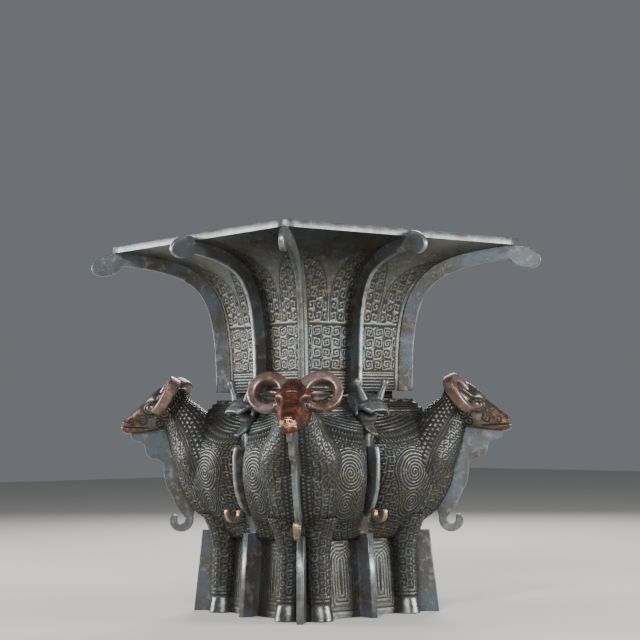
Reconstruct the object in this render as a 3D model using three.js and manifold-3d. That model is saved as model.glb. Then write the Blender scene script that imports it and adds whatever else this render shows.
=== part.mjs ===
// A bronze wine vessel for ritual use: a square, wide-mouthed jar on a high square foot,
// whose belly is carried by four rams, one at each corner. It is cast as one piece, hollow and open above,
// with a separate open hollow under its floor. Millimetres, +Z up, standing on z = 0.

import * as THREE from "three";
import { mergeVertices } from "three/addons/utils/BufferGeometryUtils.js";
import Module from "manifold-3d";

// Heights of the storeys, from the ground up
const footHeight = 127;
const bellyHeight = 205;
const collarHeight = 12;
const neckHeight = 239;

// Half widths of the square storeys, measured from the axis to the middle of a side
const footHalfBottom = 117;
const footHalfTop = 107;
const shoulderHalf = 111;
const collarHalf = 88;
const neckHalf = 97;
const rimHalf = 231;

// Walls, floor and lip
const wall = 7;
const floorThickness = 9;
const lipHeight = 11;

// The belly's plan: a rounded square with a valley down the middle of each side and a chest at each corner
const bellyHalf = 168;
const bellyCornerRadius = 55;
const valleyDepth = 33;
const valleyWidth = 24;
const chestBulge = 6;
const chestBulgeAngle = 12;

// Plain raised flanges, eight on the neck, eight on the foot and four on the belly
const flangeThickness = 8;
const neckFlangeReach = 20;
const cornerLobeOut = 9;
const sideLobeOut = 14;
const lobeLength = 54;
const lobeHeight = 34;
const lobeTilt = 0.28;
const cornerLobeDrop = 31;
const sideLobeDrop = 21;
const footFlangeReach = 29;
const footFlangeThickness = 11;
const bellyFlangeStand = 23;
const bellyFlangeBelowShoulder = 73;
const bellyFlangeHeight = 108;
const bellyCurlRadius = 12;
const bellyCurlThickness = 9;

// The rams, whose head, horns, ears and beard keep their proportions as shares of this height
const ramHeight = 250;
const ramBeforeChest = 11;
const legFromSide = 86;
const legHalfWidth = 19;
const legForward = 3;
const hoofHeight = 25;
const hoofStep = 2;

// The dragon heads in the middle of the shoulder, as shares of this length
const dragonLength = 60;

// How finely the curved parts are cut
const bellySegments = 40;
const hollowSegments = 24;
const neckSteps = 8;
const lobePoints = 10;
const curlSteps = 4;
const hornSteps = 10;
const curveSteps = 3;

// Levels and radii worked out from the sizes above
const footTop = footHeight;
const shoulderTop = footTop + bellyHeight;
const neckBase = shoulderTop + collarHeight;
const rimTop = neckBase + neckHeight;
const diagonal = Math.SQRT2;
const lipBottom = rimTop - lipHeight;
const ramFront = cornerOf(bellyHalf, bellyCornerRadius) + chestBulge + ramBeforeChest;

const wasm = await Module();
wasm.setup();

// The distance from the axis to the corner of a rounded square
function cornerOf(half, radius) {
  return (half - radius) * diagonal + radius;
}

// A closed geometry as a solid
function solidFrom(geometry) {
  const bare = geometry.clone();
  bare.deleteAttribute("normal");
  bare.deleteAttribute("uv");
  const merged = mergeVertices(bare, 1e-3);
  const corners = merged.index.array;
  const kept = [];
  for (let i = 0; i < corners.length; i += 3) {
    const [a, b, c] = [corners[i], corners[i + 1], corners[i + 2]];
    if (a !== b && b !== c && c !== a) kept.push(a, b, c);
  }
  return new wasm.Manifold(
    new wasm.Mesh({
      numProp: 3,
      vertProperties: merged.attributes.position.array,
      triVerts: new Uint32Array(kept),
    }),
  );
}

// A cylinder's grid bent into any closed skin: place gives the point for an angle, a height from 0 to 1,
// and 1 on the wall or 0 at the middle of an end
function skin(around, along, place) {
  const geometry = new THREE.CylinderGeometry(1, 1, 1, around, along);
  const at = geometry.attributes.position;
  for (let i = 0; i < at.count; i++) {
    const angle = Math.atan2(-at.getZ(i), at.getX(i));
    const across = Math.hypot(at.getX(i), at.getZ(i));
    const point = place(angle, at.getY(i) + 0.5, across);
    at.setXYZ(i, point.x, point.y, point.z);
  }
  return geometry;
}

// A body carried through a row of oval sections. Each has its centre, the direction of its first half width
// and two half widths. The second direction is square to the first and to the path. A higher power squares
// the ovals, and a twist turns where their points lie
function loft(around, stations, power = 2, twist = 0) {
  const last = stations.length - 1;
  const frames = stations.map((station, i) => {
    const before = stations[Math.max(0, i - 1)].centre;
    const after = stations[Math.min(last, i + 1)].centre;
    const along = after.clone().sub(before).normalize();
    const second = along.clone().cross(station.first).normalize();
    const first = second.clone().cross(along).normalize();
    return { ...station, first, second };
  });
  const rounded = (v) => Math.sign(v) * Math.abs(v) ** (2 / power);
  return skin(around, last, (angle, height, across) => {
    const frame = frames[Math.round(height * last)];
    return frame.centre
      .clone()
      .addScaledVector(frame.first, frame.a * rounded(Math.cos(angle + twist)) * across)
      .addScaledVector(frame.second, frame.b * rounded(Math.sin(angle + twist)) * across);
  });
}

// A flat plate standing in the plane of out and up, as thick as given, from its outline
function plate(outline, thickness) {
  const settings = { depth: thickness, bevelEnabled: false, curveSegments: curveSteps };
  const geometry = new THREE.ExtrudeGeometry(outline, settings);
  return geometry.translate(0, 0, -thickness / 2).rotateX(Math.PI / 2);
}

function shapeThrough(points) {
  return new THREE.Shape(points.map(([out, up]) => new THREE.Vector2(out, up)));
}

// A square body turned from its profile, a row of half widths and heights that starts and ends on the axis
function squareBody(profile) {
  const points = profile.map(([half, height]) => new THREE.Vector2(half * diagonal, height));
  return new THREE.LatheGeometry(points, 4, Math.PI / 4).rotateX(Math.PI / 2);
}

// The neck's side seen square on: straight up from the collar, then flaring out to the lip. The two middle
// points of its curve are given as shares of the whole flare
const neckCurve = new THREE.CubicBezierCurve(
  ...[[0, 0], [0, 0.75], [0.112, 0.93], [1, 1]].map(([out, up]) => new THREE.Vector2(
    neckHalf + out * (rimHalf - neckHalf),
    neckBase + up * (lipBottom - neckBase),
  )),
);

// Points beside the neck's side, so far outside it, in a plane where half widths are stretched by a factor
function besideNeck(distance, stretch, from, to, steps) {
  const row = [];
  for (let i = 0; i <= steps; i++) {
    const share = from + ((to - from) * i) / steps;
    const point = neckCurve.getPoint(share);
    const slope = neckCurve.getTangent(share);
    const outward = new THREE.Vector2(slope.y, -slope.x * stretch).normalize();
    row.push([point.x * stretch + outward.x * distance, point.y + outward.y * distance]);
  }
  return row;
}

function neckSolid() {
  const side = besideNeck(0, 1, 0, 1, neckSteps);
  const lip = [[rimHalf, rimTop]];
  return solidFrom(squareBody([[0, shoulderTop - wall], [collarHalf, shoulderTop - wall],
    [collarHalf, neckBase], ...side, ...lip, [0, rimTop]]));
}

// The flaring inside of the mouth and neck, carried on above the lip so that it cuts clean
function neckHollow() {
  const side = besideNeck(-wall, 1, 0.03, 0.97, neckSteps);
  const bottom = [[0, shoulderTop - 2 * wall], [collarHalf - wall, shoulderTop - 2 * wall],
    [collarHalf - wall, neckBase + wall]];
  const mouth = [[rimHalf - wall, rimTop], [rimHalf - wall, rimTop + wall], [0, rimTop + wall]];
  return solidFrom(squareBody([...bottom, ...side, ...mouth]));
}

// How the belly's half width, corner radius, valley and chest change with height, each as a share of the
// whole at its widest, from the foot up to the shoulder's edge. The hollow follows the rows marked as inside
const bellyRows = [
  { up: 0, half: 0.715, corner: 0.5, valley: 0.0, chest: 0.0, inside: true },
  { up: 0.06, half: 0.79, corner: 0.8, valley: 0.3, chest: 0.05 },
  { up: 0.17, half: 0.91, corner: 0.95, valley: 0.75, chest: 0.3, inside: true },
  { up: 0.36, half: 0.99, corner: 1, valley: 1, chest: 0.85 },
  { up: 0.48, half: 1, corner: 1, valley: 1, chest: 1, inside: true },
  { up: 0.6, half: 0.98, corner: 1, valley: 0.9, chest: 1 },
  { up: 0.69, half: 0.925, corner: 0.95, valley: 0.62, chest: 0.8, inside: true },
  { up: 0.77, half: 0.855, corner: 0.8, valley: 0.3, chest: 0.5, inside: true },
  { up: 0.84, half: 0.785, corner: 0.45, valley: 0.08, chest: 0.2 },
  { up: 0.88, half: 0.745, corner: 0.2, valley: 0, chest: 0, inside: true },
];

// One row of the belly's plan: the distance from the axis at an angle, inset by the wall for the hollow
function bellyRadius(row, angle, inset) {
  const quarter = Math.PI / 2;
  const fromSide = angle - quarter * Math.round(angle / quarter);
  const half = bellyHalf * row.half - inset;
  const radius = Math.max(2, bellyCornerRadius * row.corner - inset);
  const middle = (half - radius) * diagonal;
  const fromCorner = Math.PI / 4 - Math.abs(fromSide);
  const straight = half / Math.cos(fromSide);
  const onCorner = half * Math.tan(Math.abs(fromSide)) > half - radius;
  const reach = Math.sqrt(Math.max(0, radius ** 2 - (middle * Math.sin(fromCorner)) ** 2));
  const round = middle * Math.cos(fromCorner) + reach;
  const beside = straight * Math.sin(fromSide);
  const valley = valleyDepth * row.valley * Math.exp(-((beside / valleyWidth) ** 2));
  const bulge = THREE.MathUtils.degToRad(chestBulgeAngle);
  const chest = chestBulge * row.chest * Math.exp(-((fromCorner / bulge) ** 2));
  return (onCorner ? round : straight) - valley + chest;
}

// An angle moved towards the middle of its side, where the valley is narrow
function gathered(angle) {
  const quarter = Math.PI / 2;
  const fromSide = angle - quarter * Math.round(angle / quarter);
  const mostTurn = 0.09;
  return angle - mostTurn * Math.sin(4 * fromSide);
}

function bellySkin(rows, inset, levels, around) {
  const last = rows.length - 1;
  return skin(around, last, (turn, height, across) => {
    const i = Math.round(height * last);
    const angle = gathered(turn);
    const radius = bellyRadius(rows[i], angle, inset) * across;
    return new THREE.Vector3(radius * Math.cos(angle), radius * Math.sin(angle), levels[i]);
  });
}

function bellySolid() {
  const levels = bellyRows.map((row) => footTop + bellyHeight * row.up);
  levels[0] = footTop - floorThickness;
  return solidFrom(bellySkin(bellyRows, 0, levels, bellySegments));
}

// The hollow follows the rams' bodies at the wall's thickness, above the floor
function bellyHollow() {
  const rows = bellyRows.filter((row) => row.inside);
  const levels = rows.map((row) => footTop + Math.max(wall / 4, bellyHeight * row.up - wall / 2));
  return solidFrom(bellySkin(rows, wall, levels, hollowSegments));
}

// The stepped shoulder between the rams' backs and the collar
function shoulderSolid() {
  const edge = bellyHalf * bellyRows.at(-1).half;
  const foot = footTop + bellyHeight * bellyRows.at(-1).up - wall;
  const run = edge - shoulderHalf;
  const rise = shoulderTop - foot - wall;
  const step = (inShare, upShare) => [edge - inShare * run, foot + wall + upShare * rise];
  return solidFrom(squareBody([[0, foot], [edge, foot], step(0, 0), step(0.28, 0.25), step(0.28, 0.42),
    step(0.62, 0.55), step(0.62, 0.74), step(1, 0.82), [shoulderHalf, shoulderTop], [0, shoulderTop]]));
}

function shoulderHollow() {
  const edge = bellyHalf * bellyRows.at(-1).half - 2 * wall;
  const foot = footTop + bellyHeight * bellyRows.at(-1).up - 2 * wall;
  return solidFrom(squareBody([[0, foot], [edge, foot], [edge, foot + wall],
    [collarHalf - wall, shoulderTop - wall], [0, shoulderTop - wall]]));
}

function footSolid() {
  return solidFrom(squareBody([[0, 0], [footHalfBottom, 0], [footHalfTop, footTop], [0, footTop]]));
}

function footHollow() {
  const slope = (footHalfBottom - footHalfTop) / footTop;
  const ceiling = footTop - floorThickness;
  return solidFrom(squareBody([[0, -wall], [footHalfBottom - wall + slope * wall, -wall],
    [footHalfTop - wall + slope * floorThickness, ceiling], [0, ceiling]]));
}

// The rounded end of a neck flange, a flat oval that hangs a little at its outer end
function lobe(out, up) {
  const oval = [];
  for (let i = 0; i < lobePoints; i++) {
    const angle = (2 * Math.PI * i) / lobePoints;
    const long = (lobeLength / 2) * Math.cos(angle);
    const high = (lobeHeight / 2) * Math.sin(angle);
    oval.push([out + long * Math.cos(lobeTilt) + high * Math.sin(lobeTilt),
      up - long * Math.sin(lobeTilt) + high * Math.cos(lobeTilt)]);
  }
  return solidFrom(plate(shapeThrough(oval), flangeThickness));
}

// A neck flange: a plate that follows the neck's side from the collar to the lip and ends in a lobe
function neckFlange(stretch, lobeOut, lobeDrop) {
  const outer = besideNeck(neckFlangeReach, stretch, 0, 0.99, neckSteps);
  const inner = besideNeck(-wall / 2, stretch, 0, 0.97, neckSteps).reverse();
  outer[0][1] = neckBase;
  inner.at(-1)[1] = neckBase;
  const web = solidFrom(plate(shapeThrough([...outer, ...inner]), flangeThickness));
  return web.add(lobe(rimHalf * stretch + lobeOut, rimTop - lobeDrop));
}

function footFlange(stretch) {
  const inside = wall / 2;
  const outline = [[footHalfBottom * stretch - inside, 0], [footHalfBottom * stretch + footFlangeReach, 0],
    [footHalfTop * stretch + footFlangeReach, footTop], [footHalfTop * stretch - inside, footTop]];
  return solidFrom(plate(shapeThrough(outline), footFlangeThickness));
}

// A hooked curl: an arc between two angles that thins by a share towards its free end
const curlTaper = 0.35;
const curlFrom = 162;
const curlTo = 372;

function curl(out, up, radius, thickness) {
  const outer = [];
  const inner = [];
  for (let i = 0; i <= curlSteps; i++) {
    const angle = THREE.MathUtils.degToRad(curlFrom + ((curlTo - curlFrom) * i) / curlSteps);
    const half = (thickness / 2) * (1 - (curlTaper * i) / curlSteps);
    outer.push([out + (radius + half) * Math.cos(angle), up + (radius + half) * Math.sin(angle)]);
    inner.push([out + (radius - half) * Math.cos(angle), up + (radius - half) * Math.sin(angle)]);
  }
  return solidFrom(plate(shapeThrough([...outer, ...inner.reverse()]), flangeThickness));
}

// The flange in the middle of a belly side, a blade that ends below in an outward curl. Its outer edge draws
// in by so many curl radii at a share of its height below the top
function bellyFlange() {
  const inner = bellyHalf - valleyDepth - 2 * wall;
  const reach = bellyHalf - valleyDepth + bellyFlangeStand;
  const top = shoulderTop - bellyFlangeBelowShoulder;
  const edge = (drawnIn, down) => [reach - drawnIn * bellyCurlRadius, top - down * bellyFlangeHeight];
  const outline = [[inner, top], edge(0.25, 0), edge(0, 0.18), edge(0.15, 0.54), edge(0.8, 0.78),
    edge(1.35, 0.89), [inner + wall / 2, top - bellyFlangeHeight], [inner, top - 0.83 * bellyFlangeHeight]];
  const blade = solidFrom(plate(shapeThrough(outline), flangeThickness));
  const curlHeight = top - bellyFlangeHeight + 0.7 * bellyCurlRadius;
  return blade.add(curl(reach, curlHeight, bellyCurlRadius, bellyCurlThickness));
}

// A place on the ram in hundredths of its height. Out is measured from a plane a little before the chest, up
// from the top of the foot, and aside from the ram's middle
function onRam(out, up, aside = 0) {
  const unit = ramHeight / 100;
  return new THREE.Vector3(ramFront + out * unit, aside * unit, footTop + up * unit);
}

function ramLoft(around, rows, power) {
  const unit = ramHeight / 100;
  return solidFrom(loft(around, rows.map((row) => ({
    centre: onRam(...row.centre),
    first: new THREE.Vector3(...row.first),
    a: row.a * unit,
    b: row.b * unit,
  })), power));
}

function ramNeck() {
  const forward = [1, 0, 0];
  return ramLoft(10, [
    { centre: [-28, 22], first: forward, a: 16, b: 20 },
    { centre: [-21, 46], first: forward, a: 18.5, b: 25 },
    { centre: [-12.9, 63], first: forward, a: 16.2, b: 16.5 },
    { centre: [-3.8, 78], first: forward, a: 10.6, b: 10.4 },
    { centre: [-1.8, 89], first: forward, a: 7.6, b: 8.6 },
  ]);
}

// The head, through sections that each reach from a point on the brow line to one on the jaw line
function ramHead() {
  const brow = [[-8, 91], [-2, 94], [4.6, 89.6], [12, 83.4], [27, 72.4], [31, 69.6], [32.8, 67.4]];
  const jaw = [[-7, 76], [-3.6, 70.4], [3.6, 64.4], [10.8, 62.4], [24.8, 61.2], [28.8, 61.6], [31.2, 63.4]];
  const halfWidths = [8, 11, 11.6, 9.4, 5.8, 5.2, 2.6];
  return ramLoft(8, brow.map(([out, up], i) => {
    const [jawOut, jawUp] = jaw[i];
    return {
      centre: [(out + jawOut) / 2, (up + jawUp) / 2],
      first: [0, 1, 0],
      a: halfWidths[i],
      b: Math.hypot(out - jawOut, up - jawUp) / 2,
    };
  }), 2.5);
}

function ramEye(side) {
  const unit = ramHeight / 100;
  const ball = new THREE.SphereGeometry(1, 6, 3).scale(3.6 * unit, 2 * unit, 2.8 * unit).rotateY(0.6);
  const place = onRam(11, 77.4, side * 9.4);
  return solidFrom(ball.translate(place.x, place.y, place.z));
}

// A horn: a strap curled once round in a plane that leans back, out from the crown and round under the ear
function ramHorn(side) {
  const lean = THREE.MathUtils.degToRad(60);
  const back = new THREE.Vector3(-Math.cos(lean), 0, Math.sin(lean));
  const splay = THREE.MathUtils.degToRad(18);
  const aside = new THREE.Vector3(-Math.sin(splay), side * Math.cos(splay), 0);
  const forward = new THREE.Vector3(Math.sin(lean), 0, Math.cos(lean));
  const unit = ramHeight / 100;
  const centre = onRam(1.4, 84.4, side * 15);
  const stations = [];
  for (let i = 0; i <= hornSteps; i++) {
    const share = i / hornSteps;
    const angle = THREE.MathUtils.degToRad(165 - 338 * share);
    const radius = (11.4 - 1.6 * share) * unit;
    const out = aside.clone().multiplyScalar(Math.cos(angle)).addScaledVector(back, Math.sin(angle));
    const shift = (-1 + 5 * Math.max(0, share - 0.55)) * unit;
    stations.push({
      centre: centre.clone().addScaledVector(out, radius).addScaledVector(forward, shift),
      first: out,
      a: (3.2 - 1.6 * share ** 2) * unit,
      b: (4.4 - 2.4 * share ** 2) * unit,
    });
  }
  return solidFrom(loft(4, stations, 3, Math.PI / 4));
}

function ramEar(side) {
  return ramLoft(4, [
    { centre: [-1, 82, side * 7], first: [0, 0, 1], a: 2.4, b: 1.6 },
    { centre: [-1, 82.4, side * 12], first: [0, 0, 1], a: 3.8, b: 1.6 },
    { centre: [-1.6, 83, side * 17], first: [0, 0, 1], a: 3.2, b: 1.2 },
    { centre: [-2.6, 84, side * 21], first: [0, 0, 1], a: 1, b: 0.7 },
  ]);
}

// The scalloped flange under the jaw and down the chest, with its curl
function ramBeard() {
  const outline = new THREE.Shape();
  const go = (out, up) => {
    const point = onRam(out, up);
    return [point.x, point.z];
  };
  outline.moveTo(...go(-3.6, 66));
  outline.lineTo(...go(26, 63));
  outline.quadraticCurveTo(...go(27, 56.4), ...go(21.6, 56.2));
  outline.lineTo(...go(16.8, 55.8));
  outline.lineTo(...go(16.6, 50.4));
  outline.quadraticCurveTo(...go(15.4, 45), ...go(8.6, 44.6));
  outline.lineTo(...go(4.4, 42.4));
  outline.quadraticCurveTo(...go(5.4, 30), ...go(0.6, 24));
  outline.lineTo(...go(-3.6, 14.8));
  outline.lineTo(...go(-9.6, 7.4));
  outline.lineTo(...go(-14, 7.4));
  outline.lineTo(...go(-16, 14));
  outline.lineTo(...go(-10, 30));
  const unit = ramHeight / 100;
  const centre = onRam(-6.6, 6.4);
  const hook = curl(centre.x, centre.z, 5.2 * unit, 5.4 * unit);
  return solidFrom(plate(outline, flangeThickness)).add(hook);
}

// A half-round leg that stands against one face of the foot, with a smooth hoof
function ramLeg(side) {
  const slope = (footHalfBottom - footHalfTop) / footTop;
  const legFront = footHalfBottom + legForward;
  const haunchHeight = 0.13 * bellyHeight;
  const rows = [
    { up: 0, a: 1.12, b: 1.05 },
    { up: hoofHeight, a: 0.93, b: 0.9 },
    { up: hoofHeight + hoofStep, a: 1.05, b: 1.02 },
    { up: footTop * 0.8, a: 1.15, b: 1.08 },
    { up: footTop + haunchHeight, a: 2.2, b: 1.7 },
  ];
  const stations = rows.map((row) => ({
    centre: new THREE.Vector3(legFront - slope * Math.min(row.up, footTop), side * legFromSide, row.up),
    a: legHalfWidth * row.a,
    b: legHalfWidth * row.b,
  }));
  return skin(8, rows.length - 1, (angle, height, across) => {
    const i = Math.round(height * (rows.length - 1));
    const { centre, a, b } = stations[i];
    return new THREE.Vector3(
      centre.x + a * Math.cos(angle) * across,
      centre.y + b * Math.sin(angle) * across,
      centre.z,
    );
  });
}

// A place on the dragon's head in the middle of a shoulder, in hundredths of the head's length
function onDragon(out, up, aside = 0) {
  const unit = dragonLength / 100;
  return new THREE.Vector3(shoulderHalf + out * unit, aside * unit, shoulderTop + up * unit);
}

function dragonLoft(around, rows, power) {
  const unit = dragonLength / 100;
  return solidFrom(loft(around, rows.map((row) => ({
    centre: onDragon(...row.centre),
    first: new THREE.Vector3(0, 1, 0),
    a: row.a * unit,
    b: row.b * unit,
  })), power));
}

function dragonHead() {
  const upperJaw = dragonLoft(8, [
    { centre: [-10, -12], a: 36, b: 26 },
    { centre: [24, -14], a: 42, b: 27 },
    { centre: [48, -20], a: 42, b: 22 },
    { centre: [68, -30], a: 38, b: 14 },
    { centre: [80, -36], a: 26, b: 7 },
  ], 2.6);
  const lowerJaw = dragonLoft(6, [
    { centre: [4, -52], a: 32, b: 22 },
    { centre: [34, -72], a: 22, b: 11 },
    { centre: [54, -86], a: 12, b: 7 },
    { centre: [66, -94], a: 6, b: 5 },
  ], 2.6);
  const mouth = dragonLoft(5, [
    { centre: [14, -46], a: 26, b: 12 },
    { centre: [100, -68], a: 44, b: 30 },
  ]);
  return upperJaw.add(lowerJaw).subtract(mouth);
}

function dragonHorn(side) {
  const rows = [[0, -6, 12], [17, 28, 8], [22, 36, 11], [25, 46, 10], [26, 50, 5]];
  const unit = dragonLength / 100;
  const stations = rows.map(([lean, up, radius]) => ({
    centre: onDragon(50, up, side * (24 + lean)),
    first: new THREE.Vector3(1, 0, 0),
    a: radius * unit,
    b: radius * unit,
  }));
  return solidFrom(loft(4, stations));
}

function dragonCheek(side) {
  return dragonLoft(5, [
    { centre: [22, -24, side * 28], a: 8, b: 12 },
    { centre: [42, -34, side * 44], a: 6, b: 18 },
    { centre: [58, -46, side * 54], a: 4, b: 10 },
  ]);
}

// Every piece that stands outward on a diagonal or in the middle of a side, as one solid for each
function ram() {
  let whole = ramNeck().add(ramHead()).add(ramBeard());
  for (const side of [-1, 1]) {
    whole = whole.add(ramHorn(side)).add(ramEye(side)).add(ramEar(side));
  }
  return whole;
}

function dragon() {
  let whole = dragonHead();
  for (const side of [-1, 1]) {
    whole = whole.add(dragonHorn(side)).add(dragonCheek(side));
  }
  return whole;
}

function legPair() {
  return solidFrom(ramLeg(1)).add(solidFrom(ramLeg(-1)));
}

function cornerWorks() {
  return ram()
    .add(neckFlange(diagonal, cornerLobeOut, cornerLobeDrop))
    .add(footFlange(diagonal));
}

function sideWorks() {
  return dragon()
    .add(bellyFlange())
    .add(neckFlange(1, sideLobeOut, sideLobeDrop))
    .add(footFlange(1))
    .add(legPair());
}

function vesselSolid() {
  let whole = neckSolid().add(shoulderSolid()).add(bellySolid()).add(footSolid());
  const corner = cornerWorks();
  const side = sideWorks();
  for (let quarter = 0; quarter < 4; quarter++) {
    whole = whole.add(side.rotate([0, 0, 90 * quarter]));
    whole = whole.add(corner.rotate([0, 0, 90 * quarter + 45]));
  }
  const hollow = neckHollow().add(shoulderHollow()).add(bellyHollow());
  return whole.subtract(hollow).subtract(footHollow());
}

// A finished solid back as a geometry
function geometryFrom(solid) {
  const mesh = solid.getMesh();
  const geometry = new THREE.BufferGeometry();
  geometry.setAttribute("position", new THREE.BufferAttribute(mesh.vertProperties, 3));
  geometry.setIndex(new THREE.BufferAttribute(mesh.triVerts, 1));
  geometry.computeVertexNormals();
  return geometry;
}

const bronze = new THREE.MeshStandardMaterial({ color: 0x3c3f3b, roughness: 0.45, metalness: 0.85 });

const group = new THREE.Group();
const vessel = new THREE.Mesh(geometryFrom(vesselSolid()), bronze);
vessel.name = "vessel";
group.add(vessel);

export default group;
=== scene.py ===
import math

import bpy
import numpy as np
from mathutils import Matrix, Vector


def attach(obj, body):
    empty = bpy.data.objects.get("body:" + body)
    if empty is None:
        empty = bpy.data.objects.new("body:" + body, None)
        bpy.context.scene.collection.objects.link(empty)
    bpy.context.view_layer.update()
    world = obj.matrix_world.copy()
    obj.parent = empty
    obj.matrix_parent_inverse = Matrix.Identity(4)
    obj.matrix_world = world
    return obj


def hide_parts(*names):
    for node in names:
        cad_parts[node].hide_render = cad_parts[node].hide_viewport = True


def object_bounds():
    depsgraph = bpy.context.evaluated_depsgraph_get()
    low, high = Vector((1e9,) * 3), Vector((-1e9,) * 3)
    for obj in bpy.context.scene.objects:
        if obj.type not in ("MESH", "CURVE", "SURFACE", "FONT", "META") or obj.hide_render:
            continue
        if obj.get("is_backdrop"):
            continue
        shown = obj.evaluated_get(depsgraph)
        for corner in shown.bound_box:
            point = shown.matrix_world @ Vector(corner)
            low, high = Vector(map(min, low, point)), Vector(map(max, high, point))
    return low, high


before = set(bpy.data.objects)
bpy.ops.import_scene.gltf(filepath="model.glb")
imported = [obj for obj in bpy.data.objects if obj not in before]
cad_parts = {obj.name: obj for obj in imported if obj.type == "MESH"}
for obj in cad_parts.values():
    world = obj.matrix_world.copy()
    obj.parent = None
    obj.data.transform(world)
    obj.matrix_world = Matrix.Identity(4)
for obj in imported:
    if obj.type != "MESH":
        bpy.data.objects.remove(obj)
cad_box = [list(corner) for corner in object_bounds()]

# Lengths below are millimetres, and meshes are written in metres
METRE = 0.001
RIM_TOP = cad_box[1][2] / METRE

# Heights of the storeys
FOOT_TOP = 127.0
SHOULDER_TOP = 332.0
NECK_BASE = 344.0
LIP_HEIGHT = 11.0
LIP_BOTTOM = RIM_TOP - LIP_HEIGHT

# Half widths from the axis to the middle of a side
FOOT_BOTTOM = 117.0
FOOT_HALF = 107.0
SHOULDER_HALF = 111.0
COLLAR_HALF = 88.0
NECK_HALF = 97.0
RIM_HALF = 231.0
BELLY_HALF = 168.0
BELLY_CORNER = 55.0
VALLEY_DEPTH = 33.0
VALLEY_WIDTH = 24.0
CHEST_BULGE = 6.0
CHEST_ANGLE = math.radians(12)
BELLY_HEIGHT = SHOULDER_TOP - FOOT_TOP
FOOT_SLOPE = (FOOT_BOTTOM - FOOT_HALF) / FOOT_TOP
WALL = 7.0
FLOOR_THICKNESS = 9.0
DIAGONAL = math.sqrt(2)
RAM_BEFORE_CHEST = 11.0
RAM_FRONT = (BELLY_HALF - BELLY_CORNER) * DIAGONAL + BELLY_CORNER + CHEST_BULGE + RAM_BEFORE_CHEST

# Flanges. The ovals at the ends of the neck's flanges are a hair smaller than the solid's, whose corners
# they round. A hook is a hair thinner than the blade that it grows from, so that their faces don't
# coincide
FLANGE = 8.0
HOOK = 0.98 * FLANGE
FOOT_FLANGE = 11.0
FLANGE_EDGE = 1.8
BLADE_EDGE = 2.8
NECK_REACH = 20.0
FOOT_REACH = 29.0
LOBE_LENGTH = 52.6
LOBE_HEIGHT = 33.2
LOBE_TILT = 0.28
BLADE_STAND = 23.0
BLADE_BELOW_SHOULDER = 73.0
BLADE_HEIGHT = 108.0
BLADE_CURL = 12.0

# The ram is set out in hundredths of its height, the dragon's head in hundredths of its length. The front
# ram is the last of the four, counted from 0
RAM = 2.5
DRAGON = 0.6
FRONT = 3
LEG_ASIDE = 86.0
LEG_HALF = 19.0
LEG_STAND = 3.0
HOOF = 25.0

# Relief: how deep a groove is cut, and how far apart the lines of the thunder pattern lie. The finest
# real lines lie about 4 mm apart, and here a little wider so that they show. Lines that only run side by
# side lie closer
GROOVE = 1.35
LINE = 4.9
CLOSE_LINE = 4.6

# Patterns of the patina: clouds, blooms of corrosion, casting grain, and pits as coarse as they need to
# show
CLOUD = 55.0
BLOOM = 14.0
GRAIN = 3.5
PIT = 1.1

TAU = 2 * math.pi


def smooth(low, high, value):
    """0 below low, 1 above high, and an S between them."""
    share = np.clip((value - low) / (high - low), 0, 1)
    return share * share * (3 - 2 * share)


def bell(value, width):
    """A bell that is 1 at 0: e to the power of minus the square of the value in widths."""
    return np.exp(-(value / width) ** 2)


def through(rows, count):
    """A Catmull-Rom curve through rows of numbers, cut into so many rows: each stretch is the cubic that
    leaves a row in the direction from the row before it to the row after it."""
    rows = np.asarray(rows, float)
    padded = np.concatenate([2 * rows[:1] - rows[1:2], rows, 2 * rows[-1:] - rows[-2:-1]])
    place = np.linspace(0, len(rows) - 1, count)
    start = np.minimum(place.astype(int), len(rows) - 2)
    t = (place - start)[:, None]
    a, b, c, d = (padded[start + i] for i in range(4))
    squared = 2 * a - 5 * b + 4 * c - d
    cubed = 3 * b - 3 * c + d - a
    return 0.5 * (2 * b + (c - a) * t + squared * t ** 2 + cubed * t ** 3)


def unit(vectors):
    """Each vector divided by its own length."""
    return vectors / np.maximum(np.linalg.norm(vectors, axis=-1, keepdims=True), 1e-9)


def outward(points, wrap=True):
    """Unit normals of a grid: the cross product of its slopes along the columns and along the rows,
    turned to point away from the middle of the grid."""
    down = np.gradient(points, axis=0)
    if wrap:
        across = (np.roll(points, -1, axis=1) - np.roll(points, 1, axis=1)) / 2
    else:
        across = np.gradient(points, axis=1)
    cross = unit(np.cross(across, down))
    away = points - points.reshape(-1, 3).mean(axis=0)
    return cross if (cross * away).sum() > 0 else -cross


def sunk(points, depth, wrap=True):
    """The surface sunk along its own normals, by a depth for each point."""
    return points - outward(points, wrap) * depth[:, :, None]


def drawn_in(points, share):
    """Each point drawn towards the middle of its row by a share of the distance."""
    middle = points.mean(axis=1, keepdims=True)
    return points + (middle - points) * share[:, :, None]


def part(points, faces, groove=0.0, wear=0.0, red=0.0, inward=False):
    """Points and faces with three marks for the finish. All faces are turned over together if they point in,
    which the sum of their areas times their distance from the middle tells."""
    flat = np.asarray(points, float).reshape(-1, 3)
    middle = flat.mean(axis=0)
    volume = 0.0
    for block in faces:
        sides = block.shape[1]
        if sides < 5:
            corners = flat[block]
            first = corners[:, sides - 2] - corners[:, 0]
            last = corners[:, sides - 1] - corners[:, sides - 3]
            volume += (np.cross(first, last) * (corners.mean(axis=1) - middle)).sum()
    if (volume < 0) != inward:
        faces = [block[:, ::-1] for block in faces]
    marks = [np.ravel(mark) if np.ndim(mark) else np.full(len(flat), mark) for mark in (groove, wear, red)]
    return {"points": flat, "faces": faces, "marks": marks}


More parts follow.
